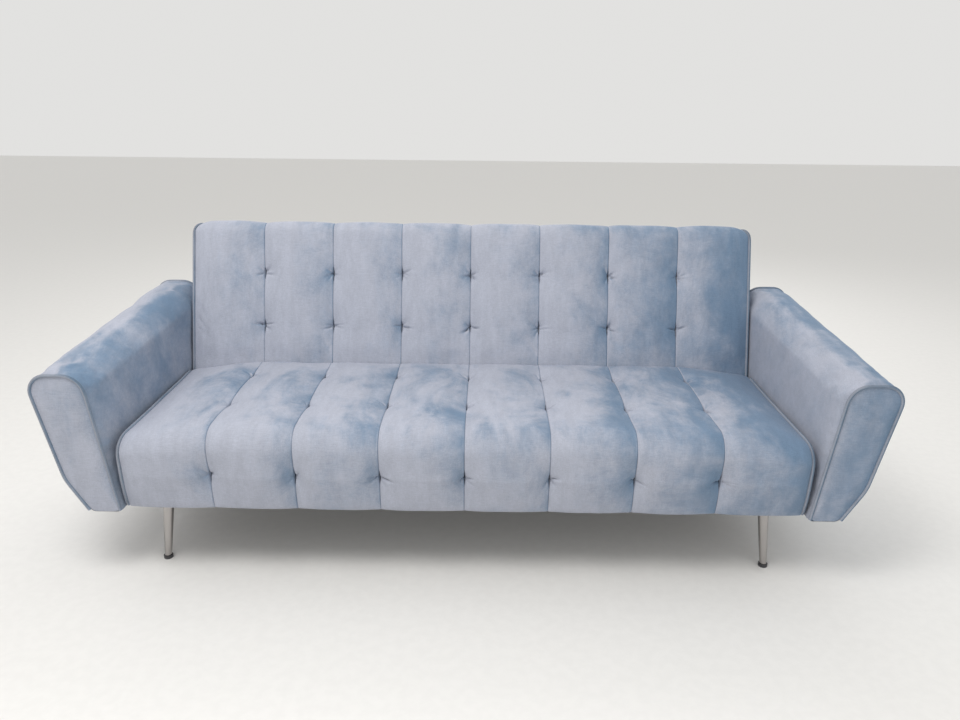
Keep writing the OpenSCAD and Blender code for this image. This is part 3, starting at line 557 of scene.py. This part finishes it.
def channelled(name, profile, half, rows, depth, place, end_shape, crown, seam, soft, pressure, slack,
               drags=(), cut=None):
    """A sewn cover: profile is its (a, b) outline seen from the end, rows are the places of the
    tufts along it, and place(x, a, b) puts a point in space. Returns the cover and its two end lines."""
    q, t, along = bunched(profile, rows)
    outward = np.stack([-t[:, 1], t[:, 0]], axis=1)
    xs = seam_columns(half)
    height = lift(xs, along, rows, crown, seam, depth, soft(along))
    height += waves(along, xs, 0.16, 0.0012)
    verts = np.empty((len(along), len(xs), 3))
    for j, x in enumerate(xs):
        a, b, px = end_shape(x, q[:, 0] + outward[:, 0] * height[:, j],
                             q[:, 1] + outward[:, 1] * height[:, j])
        verts[:, j] = np.stack([px, a, b], axis=1)
    keep = None
    if cut is not None:
        def keep(i, j):
            return not cut((xs[j] + xs[j + 1]) / 2, *((q[i] + q[i + 1]) / 2))
    rows_n, cols_n = len(along), len(xs)
    faces = grid_faces(rows_n, cols_n, keep=keep)
    local = verts.reshape(-1, 3)
    obj = new_object(name, local, faces, VELVET)
    obj.data.update()
    mid = (rows_n // 2) * cols_n + cols_n // 2
    if normals(obj)[mid] @ np.array([0, *outward[rows_n // 2]]) < 0:
        obj.data.flip_normals()
    index = np.arange(rows_n * cols_n).reshape(rows_n, cols_n)
    seam_cols = [k * COLUMNS for k in range(1, len(SEAMS) + 1)]
    pins = set(index[0]) | set(index[-1]) | set(index[:, 0]) | set(index[:, -1])
    for column in seam_cols:
        pins |= set(index[:, column])
    flat = coords(obj)
    settle(obj, sorted(pins), pressure, slack)
    swell = (coords(obj) - flat).reshape(rows_n, cols_n, 3)
    blur = np.exp(-((along[:, None] - along[None, :]) / SWELL_REACH) ** 2) * np.gradient(along)[None, :]
    blur /= blur.sum(axis=1)[:, None]
    points_now = flat + np.einsum("ij,jkl->ikl", blur, swell).reshape(-1, 3)
    set_coords(obj, points_now)
    n = normals(obj)
    fold = creases(xs, along, rows, CREASE)
    for start, angle, length in drags:
        fold += crease(xs, along, start, angle, length, DRAG_WIDTH, DRAG)
    groove = np.zeros((rows_n, cols_n))
    for column in seam_cols:
        slit = sum(np.exp(-((along - row - rng.uniform(-0.003, 0.003)) / rng.uniform(0.014, 0.020)) ** 4)
                   for row in rows)
        groove[:, column] -= SEAM_GROOVE + SLIT * slit
        groove[:, column - 1] -= rng.uniform(0.0006, 0.0022) * slit
        groove[:, column + 1] -= rng.uniform(0.0006, 0.0022) * slit
    points_now = points_now + n * (fold + groove).reshape(-1)[:, None]
    final = points_now.reshape(rows_n, cols_n, 3)
    ends = final[:, 0].copy(), final[:, -1].copy()
    set_coords(obj, [place(*p) for p in points_now])
    subdivide(obj)
    return obj, ends


def nearest(q, along, point):
    return along[int(np.argmin(np.hypot(q[:, 0] - point[0], q[:, 1] - point[1])))]


def smooth_line(points, passes=4):
    p = points.copy()
    for _ in range(passes):
        p[1:-1] = (p[:-2] + 2 * p[1:-1] + p[2:]) / 4
    return p


# ---- Seat ----
SEAT_HALF = 0.845                # the cover's end, where the piping is sewn on
SEAT_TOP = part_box("seat_cover")[1].z
SEAT_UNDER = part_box("seat_cover")[0].z
SEAT_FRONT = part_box("seat_cover")[0].y
KNEE_Z = 0.290
REAR_EDGE = 0.110                # where the seat's top ends, behind
END_DROP = 0.024                 # how much lower the top is at its ends
seat_line = rounded([
    (SEAT_FRONT + 0.026, SEAT_UNDER, 0), (SEAT_FRONT + 0.020, SEAT_UNDER, 0.005),
    (SEAT_FRONT, KNEE_Z, 0.06), (SEAT_FRONT, SEAT_TOP, 0.052), (0.130, SEAT_TOP, 0.014),
    (0.0755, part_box("rear_apron")[1].z, 0)])
sq, _, s_along = even(seat_line, STEP)
seat_rows = [nearest(sq, s_along, p) for p in ((SEAT_FRONT, 0.284), (-0.203, SEAT_TOP), (0.005, SEAT_TOP))]
nose_at = nearest(sq, s_along, (SEAT_FRONT, 0.36))
rear_at = nearest(sq, s_along, (0.122, SEAT_TOP))


def seat_soft(along):
    """Fullness of the seat along its outline: none at the hem and behind, full on the top."""
    front = smoothstep(along / 0.016) * 0.70 + 0.30 * smoothstep((along - nose_at + 0.05) / 0.12)
    return front * (1 - 0.97 * smoothstep((along - rear_at + 0.085) / 0.085))


def seat_end(x, y, z):
    over = np.clip((z - KNEE_Z) / (SEAT_TOP - KNEE_Z), 0, 1.2)
    drop = END_DROP * smoothstep((abs(x) - 0.63) / (SEAT_HALF - 0.63))
    z = z - drop * over
    u = np.clip((abs(x) - (SEAT_HALF - 0.030)) / 0.030, 0, 1)
    pinch = 0.007 * (1 - math.sqrt(1 - u * u * 0.98))
    inward = np.array([(SEAT_FRONT + 0.26) - y, 0.30 - z])
    size = np.maximum(np.linalg.norm(inward, axis=0), 1e-6)
    top = np.clip((z - 0.24) / 0.05, 0, 1)
    y = y + pinch * top * np.sign(inward[0]) * np.minimum(np.abs(inward[0]) / size * 1.4, 1)
    z = z + pinch * top * np.clip(inward[1] / size * 2.2, -1, 0)
    return y, z, np.full_like(y, x)


seat, seat_ends = channelled(
    "seat_upholstery", seat_line, SEAT_HALF, seat_rows, SEAT_TUFTS,
    lambda x, a, b: (x, a, b), seat_end, CROWN, SEAM, seat_soft, 1.8, 0.006)
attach(seat, "base")
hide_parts("seat_cover", "seat_foam")

for side, ends, name in ((-1, seat_ends[0], "left"), (1, seat_ends[1], "right")):
    line = smooth_line(ends, 6)
    line[:, 0] = side * (SEAT_HALF + PIPE_R)
    above = line[:, 2] > SEAT_UNDER + 0.004
    behind = (line[:, 1] > REAR_EDGE) & (line[:, 2] < SEAT_TOP - END_DROP - 0.010)
    cord_line = line[above & ~behind]
    piping = tube(f"seat_piping_{name}.cloth", cord_line, PIPE_R, PIPING)
    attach(piping, "base")
    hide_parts(f"seat_piping_{name}")
    rim = [(a, b) for _, a, b in line] + [(line[-1][1] - 0.012, SEAT_UNDER + 0.004)]
    rim = even(rim, 0.010, closed=True)[0]
    mid = rim.mean(axis=0)
    rim = mid + (rim - mid) * 0.994
    ending = panel(f"seat_end_{name}.cloth", rim,
                   lambda a, b, h, s=side: (s * (SEAT_HALF + 0.0045 + h), a, b), 0.0028, VELVET)
    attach(ending, "base")
    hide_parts(f"seat_end_panel_{name}")


# ---- Back ----
BACK_HALF = 0.844
BACK_FRONT = -0.088
BACK_REAR = 0.062
BACK_TAIL = -0.050
BACK_TOP = 0.486
CORNER = 0.028                   # radius of the back's top corners, seen from in front
back_line = rounded([
    (BACK_REAR - 0.006, BACK_TAIL, 0), (BACK_FRONT, BACK_TAIL, 0.040),
    (BACK_FRONT, BACK_TOP, 0.030), (BACK_REAR, BACK_TOP, 0.020), (BACK_REAR, BACK_TOP - 0.022, 0)])
bq, _, b_along = even(back_line, STEP)
back_rows = [nearest(bq, b_along, (BACK_FRONT, z)) for z in (0.174, 0.329)]
low_at = nearest(bq, b_along, (BACK_FRONT, 0.085))
top_at = nearest(bq, b_along, (BACK_FRONT, BACK_TOP - 0.03))
end_at = b_along[-1]
LEAN = Matrix.Rotation(-RECLINE, 4, "X")


def in_back(x, a, b):
    return tuple(PIVOT + LEAN @ Vector((x, a, b)))


def back_soft(along):
    low = smoothstep((along - low_at + 0.03) / 0.06)
    return low * (1 - 0.75 * smoothstep((along - top_at) / 0.06)) * smoothstep((end_at - along) / 0.06)


def corner_pull(b):
    """How far in the back's ends are drawn at height b, for its rounded top corners."""
    up = np.clip((b - (BACK_TOP - CORNER)) / CORNER, 0, 1)
    return (CORNER - 0.004) * (1 - np.sqrt(1 - up * up * 0.97))


def back_end(x, a, b):
    near = smoothstep((abs(x) - 0.70) / (BACK_HALF - 0.70)) ** 2
    u = np.clip((abs(x) - (BACK_HALF - 0.028)) / 0.028, 0, 1)
    pinch = 0.006 * (1 - math.sqrt(1 - u * u * 0.98))
    front = np.clip((0.02 - a) / 0.10, 0, 1)
    x_in = x - math.copysign(1, x) * corner_pull(b) * near
    return a + pinch * front, b - pinch * (b > BACK_TOP - 0.02), x_in


def slot_hole(x, a, b):
    """The openings that the hinge plates swing through."""
    return 0.812 < abs(x) < 0.8275 and a > -0.027 and b < 0.027


# Long soft folds low on the back: (x, how far up the front face), the way they run, length
back_drags = [((x, low_at + up), angle, length) for x, up, angle, length in (
    (-0.835, 0.150, -1.00, 0.12), (-0.838, 0.110, -0.95, 0.10), (-0.832, 0.075, -0.80, 0.08),
    (0.004, 0.004, 1.05, 0.11), (0.010, -0.002, 0.80, 0.10), (0.205, 0.006, 2.30, 0.07),
    (-0.425, 0.010, 2.20, 0.06), (0.425, 0.085, -0.95, 0.07), (0.428, 0.060, -0.70, 0.06))]

back, back_ends = channelled(
    "back_upholstery", back_line, BACK_HALF, back_rows, BACK_TUFTS,
    in_back, back_end, 0.0085, SEAM, back_soft, 1.2, 0.004, drags=back_drags, cut=slot_hole)
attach(back, "back")
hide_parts("back_cover", "back_foam")

for side, ends, name in ((-1, back_ends[0], "left"), (1, back_ends[1], "right")):
    line = smooth_line(ends, 4)
    line[:, 0] += side * PIPE_R
    down = [(line[-1][0], BACK_REAR - 0.003, z) for z in np.arange(line[-1][2] - STEP, -0.010, -STEP)]
    whole = np.vstack([line[line[:, 2] > -0.012], np.array(down)])
    whole[:, 0] = side * (BACK_HALF + PIPE_R - corner_pull(whole[:, 2]))
    whole = smooth_line(whole, 3)
    piping = tube(f"back_piping_{name}.cloth", [in_back(*p) for p in whole], PIPE_R, PIPING)
    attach(piping, "back")
    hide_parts(f"back_piping_{name}")
    rim = rounded([
        (BACK_FRONT + 0.008, BACK_TAIL + 0.004, 0.036), (BACK_REAR - 0.003, BACK_TAIL + 0.004, 0.008),
        (BACK_REAR - 0.004, BACK_TOP - 0.005, 0.018), (BACK_FRONT + 0.004, BACK_TOP - 0.005, 0.028)],
        closed=True)
    rim = even(rim, 0.010, closed=True)[0]

    def back_side(a, b, h, s=side):
        return in_back(s * (BACK_HALF + 0.003 - corner_pull(b) + h * 0.8), a, b)

    ending = panel(f"back_end_{name}.cloth", rim, back_side, 0.0035, VELVET)
    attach(ending, "back")
    if side < 0:
        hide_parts("back_end_panels")


# ---- Arms ----
ARM_FRONT = -0.405
ARM_REAR = 0.289
ARM_FOOT = 0.184
ARM_INNER = 0.857                # inner face at the arm's foot
ARM_OUTER = 0.935                # outer face at the arm's foot
ARM_KNEE = 0.987                 # outer face at its knee
ARM_KNEE_H = 0.094               # height of the knee over the foot
ARM_TOP_W = 0.138                # width at the top
ARM_FRONT_H = 0.552              # height at the front
ARM_RISE = 0.064                 # how much higher the rear is
ARM_LEAN = 0.046                 # how far the inner face leans out at the front
ARM_TWIST = 0.043                # how much less it leans at the rear
ARM_FULL = 0.0035                # how far the stuffing rounds an arm's upper part
ARM_LUMP = 0.00022               # size of its unevenness
ARM_RINGS = 98
ARM_ROUND = 138                  # points round the arm
PANEL_T = 0.008


def arm_outline(y, d=0.0):
    """The arm's section at y, moved in by d. It starts at the inner foot and runs outwards."""
    share = (y - ARM_FRONT) / (ARM_REAR - ARM_FRONT)
    h = ARM_FRONT_H + ARM_RISE * share
    lean = ARM_INNER + ARM_LEAN - ARM_TWIST * share
    corners = [
        (ARM_INNER + d, ARM_FOOT + d, 0.006), (ARM_OUTER - d, ARM_FOOT + d, 0.016),
        (ARM_KNEE - d * 1.1, ARM_FOOT + ARM_KNEE_H, 0.110),
        (lean + ARM_TOP_W - d, h - d, 0.046 - d), (lean + d, h - d, 0.052 - d)]
    return rounded(corners, closed=True)


def ring_points(outline, count):
    """A number of points spaced evenly round a closed outline."""
    p = np.vstack([outline, outline[:1]])
    s = distances(p)
    at = np.arange(count) * s[-1] / count
    return np.stack([np.interp(at, s, p[:, k]) for k in range(2)], axis=1)


def arm(side, name):
    """One arm: its padded cover, and a padded panel and a run of piping at each end."""
    y0, y1 = ARM_FRONT + PANEL_T, ARM_REAR - PANEL_T
    ys = y0 + (y1 - y0) * (np.arange(ARM_RINGS) / (ARM_RINGS - 1))
    verts = []
    lumps = [(rng.uniform(0.10, 0.26), rng.uniform(0, TURN), rng.uniform(0, TURN)) for _ in range(10)]
    for y in ys:
        end = min(y - y0, y1 - y)
        fill = smoothstep(end / 0.09)
        edge = 0.0025 * (1 - smoothstep(end / 0.014))
        ring = ring_points(arm_outline(y, edge), ARM_ROUND)
        t = np.roll(ring, -1, axis=0) - np.roll(ring, 1, axis=0)
        t /= np.linalg.norm(t, axis=1)[:, None]
        out = np.stack([t[:, 1], -t[:, 0]], axis=1)
        high = smoothstep((ring[:, 1] - 0.25) / 0.16)
        lump = sum(np.cos(2 * math.pi * (y / w + ring[:, 1] / w * 0.7) + a) for w, a, _ in lumps)
        ring = ring + out * ((ARM_FULL * fill + ARM_LUMP * lump * fill) * high)[:, None]
        verts += [(side * x, y, z) for x, z in ring]
    faces = grid_faces(ARM_RINGS, ARM_ROUND, wrap=True, flip=side > 0)
    obj = new_object(f"arm_{name}.cloth", verts, faces, VELVET)
    points = coords(obj)
    probe = int(np.argmax(points[:, 2]))
    if normals(obj)[probe][2] < 0:
        obj.data.flip_normals()
    index = np.arange(ARM_RINGS * ARM_ROUND).reshape(ARM_RINGS, ARM_ROUND)
    pins = set(index[0]) | set(index[-1]) | set(np.nonzero(points[:, 2] < 0.215)[0])
    settle(obj, sorted(pins), pressure=1.6, slack=0.008, cap=0.004)
    subdivide(obj)
    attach(obj, "base")
    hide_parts(f"arm_cover_{name}", f"arm_foam_{name}")
    arm_ends = (("front", ARM_FRONT, -1, y0), ("rear", ARM_REAR, 1, y1))
    for end_name, y, out, ring_y in arm_ends:
        rim = ring_points(arm_outline(ring_y, 0.0055), 110)
        sheet_y = y - out * 0.0045
        piece = panel(f"arm_{end_name}_{name}.cloth", rim,
                      lambda a, b, h, s=side, c=sheet_y, o=out: (s * a, c + o * h, b), 0.0055, VELVET)
        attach(piece, "base")
        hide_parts(f"arm_{end_name}_panel_{name}")
    for end_name, y, out, ring_y in arm_ends:
        loop = ring_points(arm_outline(ring_y, 0.0022), 220)
        start = int(np.argmin(np.hypot(loop[:, 0] - 0.925, loop[:, 1] - ARM_FOOT)))
        loop = np.roll(loop, -start, axis=0)
        loop = loop[loop[:, 1] > ARM_FOOT + 0.006]
        path = [(side * a, y - out * (PIPE_R + 0.0002), b) for a, b in loop]
        cord = tube(f"arm_piping_{end_name}_{name}.cloth", smooth_line(np.array(path), 3), PIPE_R, PIPING)
        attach(cord, "base")
        if end_name == "front":
            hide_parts(f"arm_piping_{name}")


arm(-1, "left")
arm(1, "right")


# ---- Flat cloth: the back's rear panel, the apron and the dust cover ----

def flat_cloth(name, width, length, step, place, bulge, material, hole=None):
    """A stretched rectangle of cloth, centred; place(u, v, h) puts it in space."""
    nu, nv = max(2, round(width / step)), max(2, round(length / step))
    us = np.linspace(-width / 2, width / 2, nu + 1)
    vs = np.linspace(-length / 2, length / 2, nv + 1)
    verts = []
    for v in vs:
        for u in us:
            h = bulge * (1 - (2 * u / width) ** 8) * (1 - (2 * v / length) ** 4)
            verts.append(place(u, v, h))
    keep = None
    if hole is not None:
        def keep(i, j):
            return not hole((us[j] + us[j + 1]) / 2, (vs[i] + vs[i + 1]) / 2)
    obj = new_object(name, verts, grid_faces(nv + 1, nu + 1, keep=keep), material)
    subdivide(obj)
    return obj


rear_w, rear_l = 2 * BACK_HALF - 0.004, BACK_TOP - BACK_TAIL - 0.020
rear_mid = (BACK_TOP + BACK_TAIL) / 2 - 0.004
SLOT_LONGER = 0.008              # how much longer the hinge's openings are in this cloth
rear = flat_cloth("back_rear.cloth", rear_w, rear_l, 0.012,
                  lambda u, v, h: in_back(u * (1 - 0.012 * smoothstep((v - 0.20) / 0.06)),
                                          BACK_REAR - 0.002 + h, rear_mid + v),
                  0.004, VELVET, hole=lambda u, v: slot_hole(u, 0, rear_mid + v - SLOT_LONGER))
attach(rear, "back")
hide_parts("back_rear_panel")

low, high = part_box("rear_apron")
apron_w, apron_h = high.x - low.x, high.z - low.z
apron = flat_cloth("rear_apron.cloth", apron_w, apron_h, 0.009,
                   lambda u, v, h: (u, high.y - 0.001 + h, (low.z + high.z) / 2 + v), 0.001, VELVET)
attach(apron, "base")
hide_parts("rear_apron")

low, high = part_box("dust_cover")
PLATE_HALF = 0.027
LEG_HOLE = 0.030                 # half the side of the opening round a leg
leg_top_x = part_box("leg_plates")[1].x - PLATE_HALF
dust_w, dust_l = high.x - low.x, high.y - low.y
dust_y = (low.y + high.y) / 2
glides = [Vector(m["pos_m"]) for m in frame["record"]["mounts"]]
dust_z = low.z


def round_legs(u, v):
    return any(abs(abs(u) - leg_top_x) < LEG_HOLE and abs(v + dust_y - g.y) < LEG_HOLE for g in glides)


dust = flat_cloth("dust_cloth.cloth", dust_w, dust_l, 0.0117,
                  lambda u, v, h: (u, v + dust_y, dust_z + 0.001 + h), -0.001,
                  SLOT_MATERIALS["dust_cloth"], hole=round_legs)
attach(dust, "base")
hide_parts("dust_cover")


# ---- Floor, light and camera ----
floor_mat = plain("floor", (0.80, 0.79, 0.77), 0.55, 40, contrast=0.03, strength=0.05)
floor_step = 0.5
floor_n = 49
reach = floor_step * (floor_n - 1) / 2
floor = new_object("floor", [(-reach + floor_step * i, -reach + floor_step * j, 0.0)
                             for j in range(floor_n) for i in range(floor_n)],
                   grid_faces(floor_n, floor_n), floor_mat)


def area_light(name, location, target, size, power, colour):
    data = bpy.data.lights.new(name, "AREA")
    data.shape = "RECTANGLE"
    data.size, data.size_y = size
    data.energy = power
    data.color = colour
    obj = bpy.data.objects.new(name, data)
    obj.location = location
    obj.rotation_euler = (Vector(target) - Vector(location)).to_track_quat("-Z", "Y").to_euler()
    bpy.context.scene.collection.objects.link(obj)


area_light("key", (-0.9, -1.3, 3.0), (-0.1, 0.0, 0.35), (1.3, 1.3), 48, (1.0, 0.99, 0.975))
area_light("fill", (1.6, -2.6, 1.6), (0.2, 0.0, 0.3), (2.4, 1.6), 8, (0.95, 0.97, 1.0))
area_light("rear", (0.5, 2.6, 2.4), (0.0, 0.2, 0.4), (2.4, 1.6), 30, (1.0, 1.0, 1.0))

scene = bpy.context.scene
world = bpy.data.worlds.new("studio")
scene.world = world
world.use_nodes = True
world.node_tree.nodes["Background"].inputs["Color"].default_value = (1.0, 0.995, 0.98, 1)
world.node_tree.nodes["Background"].inputs["Strength"].default_value = 0.76
scene.view_settings.view_transform = "Standard"

YAW, PITCH_DOWN, ROLL = (math.radians(a) for a in (0.40, 19.53, 0.60))
EYE = (0.047, -2.057, 1.191)
LENS = 28.5
right = Vector((math.cos(YAW), math.sin(YAW), 0))
ahead = Vector((-math.sin(YAW), math.cos(YAW), 0))
forward = ahead * math.cos(PITCH_DOWN) - Vector((0, 0, math.sin(PITCH_DOWN)))
upward = ahead * math.sin(PITCH_DOWN) + Vector((0, 0, math.cos(PITCH_DOWN)))
rolled_right = right * math.cos(ROLL) + upward * math.sin(ROLL)
rolled_up = upward * math.cos(ROLL) - right * math.sin(ROLL)
camera_data = bpy.data.cameras.new("camera")
camera_data.lens = LENS
camera_data.sensor_width = 36
camera = bpy.data.objects.new("camera", camera_data)
camera.matrix_world = Matrix.Translation(EYE) @ Matrix(
    (rolled_right, rolled_up, -forward)).transposed().to_4x4()
scene.collection.objects.link(camera)
scene.camera = camera
